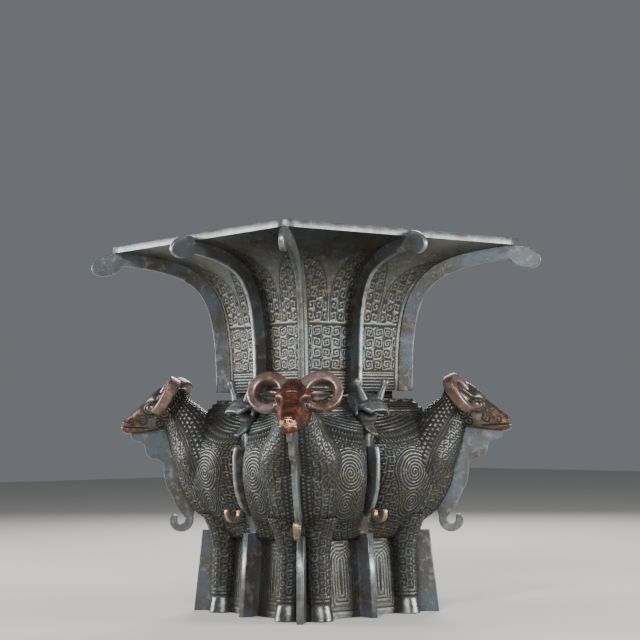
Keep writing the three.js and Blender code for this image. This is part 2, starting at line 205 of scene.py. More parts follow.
def grid(points, ends="open", wrap=True, **marks):
    """A part from rows and columns of points. Where it wraps, the last column meets the first. Its ends
    are open, or closed by fans to their middles, or flat, each closed by one face. A floor has only its
    last end flat. A hood has a fan first, and last a strip between the upper and the lower half of its
    row."""
    rows, columns = points.shape[:2]
    index = np.arange(rows * columns).reshape(rows, columns)
    beside = np.roll(index, -1, axis=1)
    quads = np.stack([index[:-1], beside[:-1], beside[1:], index[1:]], axis=-1)
    faces = [quads[:, :columns if wrap else -1].reshape(-1, 4)]
    flat = [points.reshape(-1, 3)]
    if ends == "flat":
        faces.append(index[:1, ::-1])
    if ends in ("flat", "floor"):
        faces.append(index[-1:])
    if ends in ("fans", "hood"):
        middle = np.full(columns, rows * columns)
        faces.append(np.stack([index[0], middle, beside[0]], axis=-1))
        flat.append(points[:1].mean(axis=1))
    if ends == "fans":
        faces.append(np.stack([index[-1], beside[-1], middle + 1], axis=-1))
        flat.append(points[-1:].mean(axis=1))
    if ends == "hood":
        last, half = index[-1], columns // 2
        k = np.arange(half)
        upper, lower = last[k], last[-k]
        faces.append(np.stack([upper[1:-1], upper[2:], lower[2:], lower[1:-1]], axis=-1))
        faces.append(np.array([[last[0], last[1], last[-1]], [last[half - 1], last[half], last[half + 1]]]))
    flat = np.concatenate(flat)
    for name, mark in marks.items():
        if np.ndim(mark):
            marks[name] = np.concatenate([mark.ravel(), mark[0, :1], mark[-1, :1]])[:len(flat)]
    return part(flat, faces, **marks)


def about_axis(degrees):
    """The matrix that turns rows of points about the upright axis."""
    angle = math.radians(degrees)
    cosine, sine = math.cos(angle), math.sin(angle)
    return np.array([[cosine, sine, 0], [-sine, cosine, 0], [0, 0, 1]])


def turned(shape, degrees):
    """The part turned about the upright axis."""
    return {**shape, "points": shape["points"] @ about_axis(degrees)}


def mirrored(shape):
    """The part on the other side of its own middle plane, with its faces turned back outwards."""
    faces = [block[:, ::-1] for block in shape["faces"]]
    return {**shape, "points": shape["points"] * [1, -1, 1], "faces": faces}


def all_round(shapes, first=0):
    """The same parts on each of the four sides."""
    return [turned(shape, first + 90 * quarter) for quarter in range(4) for shape in shapes]


def placed(name, data):
    """An object of that name and data, put into the scene."""
    made = bpy.data.objects.new(name, data)
    bpy.context.scene.collection.objects.link(made)
    return made


def piece(name, shapes, material):
    """One object from several parts, riding on the vessel and standing for it."""
    points = np.concatenate([shape["points"] for shape in shapes]) * METRE
    loops, sizes, start = [], [], 0
    for shape in shapes:
        for block in shape["faces"]:
            loops.append((block + start).ravel())
            sizes.append(np.full(len(block), block.shape[1]))
        start += len(shape["points"])
    loops = np.concatenate(loops).astype(np.int32)
    sizes = np.concatenate(sizes)
    starts = np.concatenate([[0], np.cumsum(sizes)[:-1]]).astype(np.int32)
    mesh = bpy.data.meshes.new(name)
    mesh.vertices.add(len(points))
    mesh.vertices.foreach_set("co", points.astype(np.float32).ravel())
    mesh.loops.add(len(loops))
    mesh.loops.foreach_set("vertex_index", loops)
    mesh.polygons.add(len(starts))
    mesh.polygons.foreach_set("loop_start", starts)
    mesh.polygons.foreach_set("use_smooth", np.ones(len(starts), bool))
    mesh.update(calc_edges=True)
    for i, mark in enumerate(("groove", "wear", "red")):
        values = np.concatenate([shape["marks"][i] for shape in shapes]).astype(np.float32)
        mesh.attributes.new(mark, "FLOAT", "POINT").data.foreach_set("value", values)
    mesh.materials.append(material)
    made = placed(name, mesh)
    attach(made, "root")
    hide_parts("vessel")


# Ornament. Each function gives 0 on the face of the metal and 1 at the bottom of a groove

def cut(phase, width=0.5):
    """Grooves wherever the phase passes a whole number, each so wide a share of the spacing."""
    away = np.abs(phase - np.round(phase))
    return 1 - smooth(width * 0.28, width * 0.72, away)


def rule(away):
    """One groove along a line, from the distance to the line."""
    return 1 - smooth(0.7, 1.8, np.abs(away))


def thunder(x, y, wide, high, line=LINE):
    """Squared spirals side by side: in each cell, the greater of the two distances from the cell's middle
    grows by one line for each turn round it. Neighbours turn opposite ways."""
    column = np.floor(x / wide)
    row = np.floor(y / high)
    u = x - (column + 0.5) * wide
    v = (y - (row + 0.5) * high) * wide / high
    hand = np.where((column + row) % 2 == 0, 1, -1)
    square = np.maximum(np.abs(u), np.abs(v))
    return cut(square / line - np.arctan2(v * hand, u) / TAU)


def spiral(x, y, middle, hand):
    """A round spiral: the distance from its middle grows by one line for each turn."""
    u = x - middle[0]
    v = y - middle[1]
    return cut(np.hypot(u, v) / LINE - np.arctan2(v * hand, u) / TAU)


def ladders(x, y, low, wide, rung):
    """Two rows of small plates side by side: bands between lines, crossed by rungs, the second row's half
    a rung further on."""
    out = 0
    for near, along in ((low, y), (low + wide + 1.5, y + rung / 2)):
        far = near + wide
        edges = np.minimum(np.abs(x - near), np.abs(x - far))
        rungs = cut(along / rung, 0.45) * (x > near) * (x < far)
        out = np.maximum(out, np.maximum(rungs, 1 - smooth(0.7, 1.7, edges)))
    return out


# Square storeys

def bezier(points, t):
    """The cubic through four control points, as columns of out and up."""
    a, b, c, d = (np.array(point, float) for point in points)
    t = t[:, None]
    return a * (1 - t) ** 3 + 3 * b * t * (1 - t) ** 2 + 3 * c * t ** 2 * (1 - t) + d * t ** 3


def run_along(line):
    """How far along a line each of its points lies."""
    return np.concatenate([[0], np.cumsum(np.linalg.norm(np.diff(line, axis=0), axis=1))])


def spaced(line, count):
    """The same line cut into so many points at even distances, and their distances from its start."""
    run = run_along(line)
    place = np.linspace(0, run[-1], count)
    return np.stack([np.interp(place, run, column) for column in line.T], axis=1), place


def square_to(line):
    """Unit steps square to a line of out and up, on its outer side."""
    slope = np.gradient(line, axis=0)
    return unit(np.stack([slope[:, 1], -slope[:, 0]], axis=1))


def neck_line(count, distance=0.0, stretch=1.0, start=0.0, end=1.0):
    """The neck's side in profile, a cubic that stands upright below and flares above. It is moved
    outwards by a distance, in a plane that stretches its half widths."""
    flare = RIM_HALF - NECK_HALF
    rise = LIP_BOTTOM - NECK_BASE
    control = [(NECK_HALF, NECK_BASE), (NECK_HALF, NECK_BASE + 0.75 * rise),
               (NECK_HALF + 0.112 * flare, NECK_BASE + 0.93 * rise), (RIM_HALF, LIP_BOTTOM)]
    line = bezier(control, np.linspace(start, end, count)) * [stretch, 1]
    return line + distance * square_to(line)


def four_sides(out, x, up):
    """One side's columns, then the same columns turned to the other three sides."""
    side = np.stack(np.broadcast_arrays(out, x, up), axis=-1)
    return np.concatenate([side @ about_axis(90 * quarter) for quarter in range(4)], axis=1)


def square_storey(line, columns, relief, depth):
    """A profile of half widths and heights carried round a square. Relief is given the distance across
    the side, the distance up the profile and the half width, and sinks the surface square to the
    profile."""
    line, run = spaced(line, len(line))
    half, up = line[:, :1], line[:, 1:]
    away = square_to(line)
    x = np.linspace(-1, 1, columns, endpoint=False) * half
    groove = relief(x, run[:, None], half) * (1 - smooth(-7, -3, np.abs(x) - half))
    out = half - depth * groove * away[:, :1]
    up = up - depth * groove * away[:, 1:]
    return grid(four_sides(out, x, up), groove=np.tile(groove, (1, 4)))


def lined(line, columns, **marks):
    """A profile carried round a square as it is, without evening out its points."""
    half = line[:, :1]
    x = np.linspace(-1, 1, columns, endpoint=False) * half
    return grid(four_sides(half, x, line[:, 1:]), **marks)


def neck_relief(x, run, half):
    """From below: fine lines, a band of squared spirals between rules, then leaves that narrow upwards on
    to the flanges, filled with smaller spirals and leaving a narrow plain wedge between them."""
    lines_top, band_low, band_high, leaf_low, leaf_high = 28, 33, 99, 106, 232
    beside = np.abs(x)
    lines = cut(run / LINE + 0.5, 0.55)
    band = thunder(beside - 5, run - band_low, half / 5 - 1, (band_high - band_low) / 4, 0.92 * LINE)
    rules = np.maximum(rule(run - band_high - 2), rule(run - band_low + 2))
    rise = np.clip((run - leaf_low) / (leaf_high - leaf_low), 0, 1)
    from_edge = half / 2 - np.abs(beside - half / 2)
    leaf = half / 2 * (1 - rise ** 3.4) - from_edge
    fill = thunder(beside - 5, run - leaf_low, 3 * LINE, 3.4 * LINE)
    leaves = np.maximum(fill * (leaf > 5), rule(leaf - 2.5)) * (run > leaf_low) * (run < leaf_high)
    out = np.where(run < lines_top, lines, 0)
    out = np.where((run > band_low) & (run < band_high), band, out)
    frame_width = half - beside
    out = np.maximum(np.maximum(out, rules), leaves) * (frame_width > 12) * (beside > 8)
    return 0.75 * np.maximum(out, rule(frame_width - 12) * (run < leaf_high - 30))


def shoulder_relief(x, run, half):
    """Close lines along the steps, with a band of small squared spirals above them."""
    lines = cut(run / CLOSE_LINE, 0.5)
    band = thunder(np.abs(x), run, 2.6 * LINE, 2.2 * LINE)
    return np.where(run > 24, band, lines) * 0.8


def foot_relief(x, run, half):
    """Fine lines inside each other that stand upright and close in a round arch above: one arch between
    flange and leg, and half of one beyond the leg, round the foot's corner."""
    flange_side, arch_top, corner, spacing = 9, 116, 118, 5.2
    beside = np.abs(x)
    inner = LEG_ASIDE - LEG_HALF + 2
    outer = LEG_ASIDE + LEG_HALF - 2
    out = np.zeros_like(x)
    for low, high in ((flange_side, inner), (outer, 2 * corner - outer)):
        middle, wide = (low + high) / 2, (high - low) / 2
        above = np.maximum(0, run - (arch_top - wide))
        arch = np.minimum(wide - np.hypot(beside - middle, above), run - 8)
        out = np.maximum(out, cut(arch / spacing + 0.5, 0.5) * (arch > 0))
    return 0.6 * out


# The belly, in four quarters with a ram's chest in the middle of each

# From below, each row gives its height as a share of the belly's, then the shares of the full half width,
# of the corner's radius, of the valley's depth and of the chest's bulge
BELLY_ROWS = [
    (-0.044, 0.60, 0.4, 0.0, 0.0), (-0.043, 0.70, 0.5, 0.0, 0.0), (0.06, 0.79, 0.8, 0.3, 0.05),
    (0.17, 0.91, 0.95, 0.75, 0.3), (0.36, 0.99, 1, 1, 0.85), (0.48, 1, 1, 1, 1), (0.6, 0.98, 1, 0.9, 1),
    (0.69, 0.925, 0.95, 0.62, 0.8), (0.77, 0.855, 0.8, 0.3, 0.5), (0.84, 0.785, 0.45, 0.08, 0.2),
    (0.88, 0.745, 0.2, 0, 0),
]


def belly_radius(row, angle):
    """A rounded square's distance from the axis, less a bell-shaped valley in the middle of each side,
    plus a bell-shaped bulge at each corner. Angle is measured from the middle of the side, to either
    hand."""
    _, half, corner, valley, chest = (row[:, i:i + 1] for i in range(5))
    half = BELLY_HALF * half
    radius = np.maximum(2, BELLY_CORNER * corner)
    middle = (half - radius) * DIAGONAL
    from_corner = math.pi / 4 - angle
    straight = half / np.cos(angle)
    reach = np.sqrt(np.maximum(0, radius ** 2 - (middle * np.sin(from_corner)) ** 2))
    round_part = middle * np.cos(from_corner) + reach
    on_corner = half * np.tan(angle) > half - radius
    sinking = VALLEY_DEPTH * valley * bell(straight * np.sin(angle), VALLEY_WIDTH)
    bulge = CHEST_BULGE * chest * bell(from_corner, CHEST_ANGLE)
    return np.where(on_corner, round_part, straight) - sinking + bulge


def belly_relief(x, z, climb, half_run):
    """On each flank a drop between double lines holds a large and a small round spiral, one above the
    other. Small plates run up the chest and along the back, fine lines lie above them, and squared
    spirals fill the rest. Climb is the distance up the surface."""
    beside = np.abs(x)
    large, small = (0.56 * half_run, 219.0), (0.53 * half_run, 173.0)
    share = np.clip((large[1] - z) / (large[1] - small[1]), 0, 1)
    middle = large[0] + (small[0] - large[0]) * share
    height = large[1] + (small[1] - large[1]) * share
    drop = np.hypot(beside - middle, z - height) - (30 - 13 * share)
    coil = np.where(z > 192, spiral(beside, z, large, 1), spiral(beside, z, small, -1))
    border = cut(drop / (LINE * 0.9) + 0.5, 0.5)
    sway = 5 * np.sin(climb / 23) + 3 * np.sin(beside / 17)
    fill = thunder(beside - 24 + sway, climb + 0.4 * sway, 2.5 * LINE, 2.5 * LINE, 0.94 * LINE)
    out = np.where(drop < 0, coil, np.where(drop < 1.8 * LINE, border, fill))
    above = z - 260 - 22 * bell(beside, 74)
    crest = ladders(above, beside, 2, 7.5, 6.4)
    lines = 0.8 * cut(above / CLOSE_LINE, 0.5)
    out = np.where(above > 0, np.where(above > 20, lines, crest), out)
    out = np.where(beside < 22, ladders(beside, z, 6, 6.5, 6.0), out)
    return out * smooth(1, 6, climb) * smooth(-5, -10, beside - half_run)


def belly_quarter():
    """One quarter of the belly, with even steps up the side and along each row."""
    rows, columns, fine = 166, 228, 500
    table = through(BELLY_ROWS, 700)
    length = run_along(table[:, :2] * [BELLY_HEIGHT, BELLY_HALF])
    climb = np.linspace(0, length[-1], rows)
    row = np.stack([np.interp(climb, length, column) for column in table.T], axis=1)
    angle = np.linspace(-math.pi / 4, math.pi / 4, fine)[None, :]
    radius = belly_radius(row, math.pi / 4 - np.abs(angle))
    round_axis = np.stack([radius * np.cos(angle), radius * np.sin(angle)], axis=-1)
    points = np.zeros((rows, columns, 3))
    run = np.zeros((rows, columns))
    for i in range(rows):
        points[i, :, :2], run[i] = spaced(round_axis[i], columns)
    points[:, :, 2] = (FOOT_TOP + BELLY_HEIGHT * row[:, 0])[:, None]
    half_run = run[:, -1:] / 2
    groove = belly_relief(run - half_run, points[:, :, 2], climb[:, None], half_run)
    return grid(sunk(points, GROOVE * groove, False), wrap=False, groove=groove)


# Plates

def plate(outline, thickness, edge=FLANGE_EDGE, wear=0.0):
    """A flat plate in the plane of out and up. Its rim is a quarter round on each face, and each face
    ends in a narrow flat ring so that it stays flat up to the rounding."""
    outline = np.asarray(outline, float)
    ahead = np.roll(outline, -1, axis=0) - outline
    behind = outline - np.roll(outline, 1, axis=0)
    area = (outline[:, 0] * ahead[:, 1] - outline[:, 1] * ahead[:, 0]).sum()
    if area < 0:
        return plate(outline[::-1], thickness, edge, wear)
    both = unit(ahead) + unit(behind)
    away = unit(np.stack([both[:, 1], -both[:, 0]], axis=1))
    half = thickness / 2
    turn = np.linspace(0, math.pi / 2, 5)
    inset = edge * (1 - np.cos(turn))
    stand = half - edge + edge * np.sin(turn)
    insets = np.concatenate([[edge + 0.7], inset[::-1], inset, [edge + 0.7]])[:, None]
    asides = np.concatenate([[half], stand[::-1], -stand, [-half]])[:, None]
    rings = outline - away * insets[:, :, None]
    points = np.stack(np.broadcast_arrays(rings[:, :, 0], asides, rings[:, :, 1]), axis=-1)
    # The rounded rim is marked for abrasion and highlight: a pale line along every plate's edges, partly
    # abraded metal and partly a painted highlight on the arris
    rim = np.broadcast_to(1 - smooth(0.2, 1.0, insets / edge), points.shape[:2])
    return grid(points, "flat", wear=wear + 0.5 * rim)


def arc(middle, radius, start, end, count):
    """Points on an arc. The radius may be a pair for an oval."""
    angle = np.radians(np.linspace(start, end, count))
    wide, high = np.broadcast_to(radius, 2)
    return np.stack([middle[0] + wide * np.cos(angle), middle[1] + high * np.sin(angle)], axis=1)


def neck_flange(stretch, lobe_out, lobe_drop):
    """A plate beside the neck's profile that ends in a hanging oval lobe under the lip: the outer line up to
    the oval, the oval's arc from there, and the inner line back."""
    outer = neck_line(90, NECK_REACH, stretch, 0, 0.99)
    inner = neck_line(60, -WALL / 2, stretch, 0, 0.99)[::-1]
    outer[0, 1] = NECK_BASE
    inner[-1, 1] = NECK_BASE
    middle = np.array([RIM_HALF * stretch + lobe_out, RIM_TOP - lobe_drop])
    wide, high = LOBE_LENGTH / 2, LOBE_HEIGHT / 2
    tilt = about_axis(-math.degrees(LOBE_TILT))[:2, :2]
    oval = arc((0, 0), (wide, high), -150, 120, 60) @ tilt + middle
    local = (outer - middle) @ tilt.T
    outside = np.hypot(local[:, 0] / wide, local[:, 1] / high) > 1
    kept = outer[:np.argmin(outside)] if not outside.all() else outer
    start = np.linalg.norm(oval - kept[-1], axis=1).argmin()
    return np.concatenate([kept, oval[start + 1:], inner])


def foot_flange(stretch):
    """A tall plate that leans in a little towards its top."""
    inside = WALL / 2
    low = np.array([FOOT_BOTTOM * stretch, 0])
    high = np.array([FOOT_HALF * stretch, FOOT_TOP])
    return np.array([low - [inside, 0], low + [FOOT_REACH, 0], high + [FOOT_REACH, 0], high - [inside, 0]])


def curl(middle, radius, thickness, taper=0.2):
    """An arc that thins towards its free end, which is rounded."""
    start, end = 162, 372
    share = np.linspace(0, 1, 26)
    angle = np.radians(start + (end - start) * share)
    half = thickness / 2 * (1 - taper * share)
    ray = np.stack([np.cos(angle), np.sin(angle)], axis=1)
    outer = middle + ray * (radius + half)[:, None]
    inner = middle + ray * (radius - half)[:, None]
    cap = arc(middle + ray[-1] * radius, half[-1], end, end + 180, 8)[1:-1]
    return np.concatenate([outer, cap, inner[::-1]])


def belly_flange():
    """The blade in the valley of a side, whose edge is a smooth curve through five points, and the curl
    that it ends in below."""
    inner = BELLY_HALF - VALLEY_DEPTH - 2 * WALL
    reach = BELLY_HALF - VALLEY_DEPTH + BLADE_STAND
    top = SHOULDER_TOP - BLADE_BELOW_SHOULDER
    low = top - BLADE_HEIGHT
    shares = np.array([(0.25, 0), (0, 0.18), (0.15, 0.54), (0.8, 0.78), (1.35, 0.89)])
    edge = through([reach, top] - shares * [BLADE_CURL, BLADE_HEIGHT], 30)
    back = [(inner + WALL / 2, low), (inner, top - 0.83 * BLADE_HEIGHT), (inner, top)]
    return np.concatenate([edge, back]), curl(np.array([reach, low + 0.7 * BLADE_CURL]), BLADE_CURL, 9.0)


# The rams

def set_out(places, out, up, size):
    """Places out, up and aside in steps of a size, from a root so far out and up. Aside may be left
    out, and is then 0."""
    places = np.asarray(places, float)
    aside = places[:, 2] if places.shape[1] == 3 else np.zeros(len(places))
    return np.stack([out + places[:, 0] * size, aside * size, up + places[:, 1] * size], axis=1)


def on_ram(places):
    """Places in hundredths of the ram's height: out from the chest, up from the foot's top, and aside."""
    return set_out(places, RAM_FRONT, FOOT_TOP, RAM)


def loft(centres, firsts, a, b, power, rows, columns):
    """Oval sections along a smooth path, whose cosine and sine are raised to two parts of the power, so that
    2 is an oval and more is squarer. Each has a first half width along its first direction and a second one
    square to that and to the path. Gives the grid and the angle round it."""
    a, b, power = (np.broadcast_to(np.asarray(v, float), (len(centres),)) for v in (a, b, power))
    firsts = np.broadcast_to(np.asarray(firsts, float), (len(centres), 3))
    table = through(np.column_stack([centres, firsts, a, b, power]), rows)
    centre, first = table[:, :3], table[:, 3:6]
    along = unit(np.gradient(centre, axis=0))
    second = unit(np.cross(along, first))
    first = np.cross(second, along)
    angle = np.linspace(0, TAU, columns, endpoint=False)
    wide, deep = (np.sign(wave) * np.abs(wave) ** (2 / table[:, 8:]) * np.maximum(half, 0.2)
                  for wave, half in ((np.cos(angle), table[:, 6:7]), (np.sin(angle), table[:, 7:8])))
    points = centre[:, None] + wide[:, :, None] * first[:, None] + deep[:, :, None] * second[:, None]
    return points, np.broadcast_to(angle, points.shape[:2])


def ram_neck():
    """Throat to crown. Rows of plates cover the back and half of each side, then come fine lines, a strip
    of squared spirals, and a ladder at the throat."""
    centres = on_ram([(-28, 22), (-21, 46), (-12.9, 63), (-3.8, 78), (-1.8, 89)])
    deep = np.array([16, 18.5, 16.2, 10.6, 7.6]) * RAM
    wide = np.array([20, 25, 16.5, 10.4, 8.6]) * RAM
    points, angle = loft(centres, (1, 0, 0), deep, wide, 2, 112, 128)
    girth = np.linalg.norm(np.diff(points, axis=1, append=points[:, :1]), axis=2).sum(axis=1)[:, None] / TAU
    run = run_along(points.mean(axis=1))[:, None]
    turn = np.abs(math.pi - np.mod(angle, TAU))
    from_throat = (math.pi - turn) * girth
    share = turn / math.pi
    plate_row = share * 15
    plates = np.maximum(cut(plate_row, 0.24), cut(run / 7.8 + 0.5 * (np.floor(plate_row) % 2), 0.25))
    lines = cut((turn - 0.52 * math.pi) * girth / CLOSE_LINE, 0.5)
    sides = thunder(from_throat - 22, run, 2.3 * LINE, 2.3 * LINE, 0.92 * LINE)
    groove = np.where(share < 0.52, plates, np.where(share < 0.60, lines, sides))
    groove = np.where(from_throat < 22, ladders(from_throat, run, 7, 6.5, 6.0), groove)
    groove = groove * smooth(-2, -8, run - run[-1])
    return grid(sunk(points, groove), "fans", groove=groove)


# The head's profile from the crown to the nose, above and below, and its half widths
BROW = [(-8, 91), (-2, 94), (4.6, 89.6), (12, 83.4), (27, 72.4), (31, 69.6), (32.8, 67.4)]
JAW = [(-7, 76), (-3.6, 70.4), (3.6, 64.4), (10.8, 62.4), (24.8, 61.2), (28.8, 61.6), (31.2, 63.4)]
CHEEKS = [6, 8.8, 11, 9.2, 5.6, 5.5, 3.6]
EYE = (11.0, 77.4, 9.4)

# Scrolls on the head: out, up and reach of each, the way it turns, and how far aside it fades in
SCROLLS = [(1.6, 74.5, 6.2, 1, 3.0, 5.0), (5.6, 67.6, 3.8, -1, 3.0, 5.0),
           (16.6, 69.6, 4.2, -1, 2.2, 3.6), (23.6, 68.2, 3.2, 1, 2.0, 3.2)]


def ram_head(front):
    """A long head through sections from brow to jaw. Brows, eye sockets, scrolls, nostrils and the line
    of the mouth are raised and sunk by bell shapes and lines round their own places. The front ram's head
    is red oxide all over, and the others' only towards the muzzle."""
    brow, jaw = np.array(BROW), np.array(JAW)
    deep = np.linalg.norm(brow - jaw, axis=1) / 2 * RAM
    power = [2.4, 2.4, 2.5, 2.5, 2.5, 2.3, 2.0]
    points, _ = loft(on_ram((brow + jaw) / 2), (0, 1, 0), np.array(CHEEKS) * RAM, deep, power, 92, 88)
    place = (points - [RAM_FRONT, 0, FOOT_TOP]) / RAM
    out, aside, up = place[:, :, 0], np.abs(place[:, :, 1]), place[:, :, 2]
    eye = np.hypot((out - EYE[0]) / 1.25, up - EYE[1])
    on_side = smooth(3.0, 5.0, aside)
    socket = bell(eye - 4.4, 0.8) * on_side
    ring = bell(eye - 3.1, 0.55) * on_side
    scrolls = np.zeros_like(out)
    for middle_out, middle_up, reach, hand, low, high in SCROLLS:
        coil = spiral(out * RAM, up * RAM, (middle_out * RAM, middle_up * RAM), hand)
        away = np.hypot(out - middle_out, up - middle_up)
        scrolls = np.maximum(scrolls, coil * smooth(reach, reach - 0.6, away) * smooth(low, high, aside))
    line_height = 64.9 + 0.05 * (out - 20) + 0.9 * smooth(27, 32, out)
    mouth = bell(up - line_height, 0.6) * smooth(11, 14, out)
    lips = bell(up - line_height - 1.4, 0.7) * smooth(14, 17, out)
    nostril = bell(np.hypot(out - 30.6, up - 67.4), 1.1) * smooth(1.0, 2.0, aside)
    brow_line = 84.2 - 0.74 * (out - 5)
    on_brow = smooth(4.2, 6.4, aside) * smooth(17, 13, out)
    ridge = bell(up - brow_line - 1.2, 0.9) * on_brow
    under_brow = bell(up - brow_line + 1.0, 0.6) * on_brow
    bands = cut((out * 0.83 - up * 0.56) * RAM / 4.8, 0.45) * smooth(3.4, 2.6, aside)
    bands = bands * smooth(7, 10, out) * smooth(26, 24.5, out) * (up > 68)
    sink = 1.6 * socket + 0.9 * scrolls + 1.8 * mouth + 2.0 * nostril + 0.7 * bands + 0.8 * under_brow
    swell = 1.3 * ring + 1.9 * ridge + 0.6 * lips
    groove = np.clip(socket + scrolls + mouth + nostril + 0.8 * bands + 0.7 * under_brow, 0, 1)
    # The end of the nose is marked as abraded: pale copper that is partly abraded metal and partly a painted
    # highlight, strongest on the front ram
    nose_wear_and_highlight = smooth(28.6, 32, out) * smooth(64.2, 66.0, up)
    wear, red = (0.9 * nose_wear_and_highlight, 1.0) if front else (0.35 * nose_wear_and_highlight, 0.5 * smooth(9, 24, out))
    return grid(sunk(points, sink - swell), "fans", groove=groove, wear=wear, red=red)


def ram_eye():
    """A round ball in its socket."""
    near_pole = 0.12
    down = np.linspace(near_pole, math.pi - near_pole, 14)[:, None]
    angle = np.linspace(0, TAU, 20, endpoint=False)[None, :]
    out, up = np.sin(down) * np.cos(angle), np.sin(down) * np.sin(angle)
    ball = np.stack(np.broadcast_arrays(out, np.cos(down), up), axis=-1)
    return grid(on_ram([EYE])[0] + ball * (np.array([3.0, 1.7, 2.4]) * RAM), "fans", red=0.2, wear=0.3)


def ram_horn():
    """A flat strap curled once round in a plane that leans back, dished along its faces and ribbed
    crosswise along its outer edge."""
    lean, splay = math.radians(60), math.radians(18)
    back = np.array([-math.cos(lean), 0, math.sin(lean)])
    aside = np.array([-math.sin(splay), math.cos(splay), 0])
    ahead = np.array([math.sin(lean), 0, math.cos(lean)])
    centre = on_ram([(1.4, 84.4, 15)])[0]
    share = np.linspace(0, 1, 15)
    angle = np.radians(165 - 338 * share)
    ray = np.cos(angle)[:, None] * aside + np.sin(angle)[:, None] * back
    shift = -1 + 5 * np.maximum(0, share - 0.55)
    centres = centre + ray * ((11.4 - 1.6 * share) * RAM)[:, None] + ahead * (shift * RAM)[:, None]
    wide = (3.2 - 1.6 * share ** 2) * RAM
    deep = (4.4 - 2.4 * share ** 2) * RAM
    rows, columns, rib_count = 96, 28, 26
    points, turn = loft(centres, ray, wide, deep, 4.5, rows, columns)
    along = np.linspace(0, 1, rows)[:, None]
    on_face = np.abs(np.sin(turn))
    ribs = 0.5 * (1 + np.cos(TAU * along * rib_count)) * smooth(0.3, 0.8, np.cos(turn))
    ribs = ribs * smooth(0.98, 0.9, along)
    # Towards the strap's arrises the mark for abrasion and highlight rises: pale patches, partly abraded
    # metal and partly a painted highlight
    edge = smooth(0.75, 0.95, on_face) * smooth(0.35, 0.55, np.abs(np.cos(turn)))
    dished = drawn_in(points, 0.06 * smooth(0.5, 0.9, on_face) + 0.035 * ribs)
    return grid(dished, "fans", groove=0.3 * ribs, wear=0.1 + 0.3 * edge)


def ram_ear():
    """A leaf inside the horn's loop, hollowed along its front."""
    centres = on_ram([(-1, 82, 7), (-1, 82.4, 12), (-1.6, 83, 17), (-2.6, 84, 21)])
    high, deep = np.array([2.4, 3.8, 3.2, 0.6]) * RAM, np.array([1.6, 1.6, 1.2, 0.5]) * RAM
    points, turn = loft(centres, (0, 0, 1), high, deep, 1.8, 30, 24)
    height = points[:, :, 2]
    hollow = bell(height - height.mean(axis=1, keepdims=True), 5.0) * smooth(0.3, 0.9, np.abs(np.sin(turn)))
    return grid(drawn_in(points, 0.55 * hollow), "fans", groove=0.6 * hollow, red=0.3, wear=0.2)


def quadratic(a, b, c):
    """Points on the curve from a to c that b pulls towards itself, without the first."""
    t = np.linspace(0, 1, 8)[1:, None]
    a, b, c = (np.array(point, float) for point in (a, b, c))
    return a * (1 - t) ** 2 + 2 * b * t * (1 - t) + c * t ** 2


def ram_beard():
    """The scalloped flange below the jaw and down the chest, and the curl it ends in."""
    run = [[(-3.6, 66), (26, 63)],
           quadratic((26, 63), (27, 56.4), (21.6, 56.2)),
           quadratic((21.6, 56.2), (16.8, 55.8), (16.6, 50.4)),
           quadratic((16.6, 50.4), (15.4, 45), (8.6, 44.6)),
           [(4.4, 42.4)],
           quadratic((4.4, 42.4), (5.4, 30), (0.6, 24)),
           [(-3.6, 14.8), (-9.6, 7.4), (-14, 7.4), (-16, 14), (-10, 30)]]
    outline = np.concatenate(run) * RAM + [RAM_FRONT, FOOT_TOP]
    middle = np.array([RAM_FRONT - 6.6 * RAM, FOOT_TOP + 6.4 * RAM])
    return outline, curl(middle, 5.2 * RAM, 5.4 * RAM, 0.1)


# The legs, two to each face of the foot

def leg():
    """A half-round leg with squared spirals above a plain hoof, whose section swells at the haunch. The hoof
    is marked as abraded, pale metal that is partly a painted highlight. Its columns crowd towards the front,
    by the angle less a share of its own sine."""
    ups = np.array([0, 12, 22, HOOF, HOOF + 1.5, HOOF + 5, 70, 101.6, 130, 153])
    a = np.array([1.12, 1.05, 0.96, 0.93, 1.06, 1.05, 1.08, 1.15, 1.6, 2.2]) * LEG_HALF
    b = np.array([1.05, 1.0, 0.93, 0.9, 1.03, 1.02, 1.05, 1.08, 1.35, 1.7]) * LEG_HALF
    rows, columns = 86, 52
    table, _ = spaced(np.column_stack([ups, a, b]), rows)
    up, wide, deep = (table[:, i:i + 1] for i in range(3))
    turn = np.linspace(0, TAU, columns, endpoint=False)
    turn = turn - 0.42 * np.sin(turn)
    x = FOOT_BOTTOM + LEG_STAND - FOOT_SLOPE * np.minimum(up, FOOT_TOP) + wide * np.cos(turn)
    y = LEG_ASIDE + deep * np.sin(turn)
    around = (np.mod(turn + math.pi, TAU) - math.pi) * deep
    fine = 0.9 * LINE
    spirals = thunder(around, up - 40, 2.7 * fine, 2.7 * fine, fine) * smooth(36, 38, up)
    rings = cut((up - 28) / 5.0, 0.5) * (up > 26) * (up < 36)
    groove = np.maximum(spirals, rings)
    # The hoof's mark for abrasion and highlight: pale metal, partly a painted highlight
    rub_and_highlight = np.broadcast_to(0.55 * smooth(HOOF + 2, HOOF - 1, up), groove.shape)
    points = np.stack(np.broadcast_arrays(x, y, up), axis=-1)
    points = points - outward(points) * [1, 1, 0] * (0.9 * groove)[:, :, None]
    return grid(points, "fans", groove=groove, wear=rub_and_highlight)


# The dragons' heads in the middle of each shoulder

def on_dragon(places):
    """Places in hundredths of the head's length: out and up from the root of the neck, and aside."""
    return set_out(places, SHOULDER_HALF, SHOULDER_TOP, DRAGON)


def dragon_loft(rows, count, columns):
    """Squared oval sections in the middle plane of the head, each with its place and two half widths."""
    table = np.array(rows)
    wide, deep = table[:, 2] * DRAGON, table[:, 3] * DRAGON
    return loft(on_dragon(table[:, :2]), (0, 1, 0), wide, deep, 2.6, count, columns)


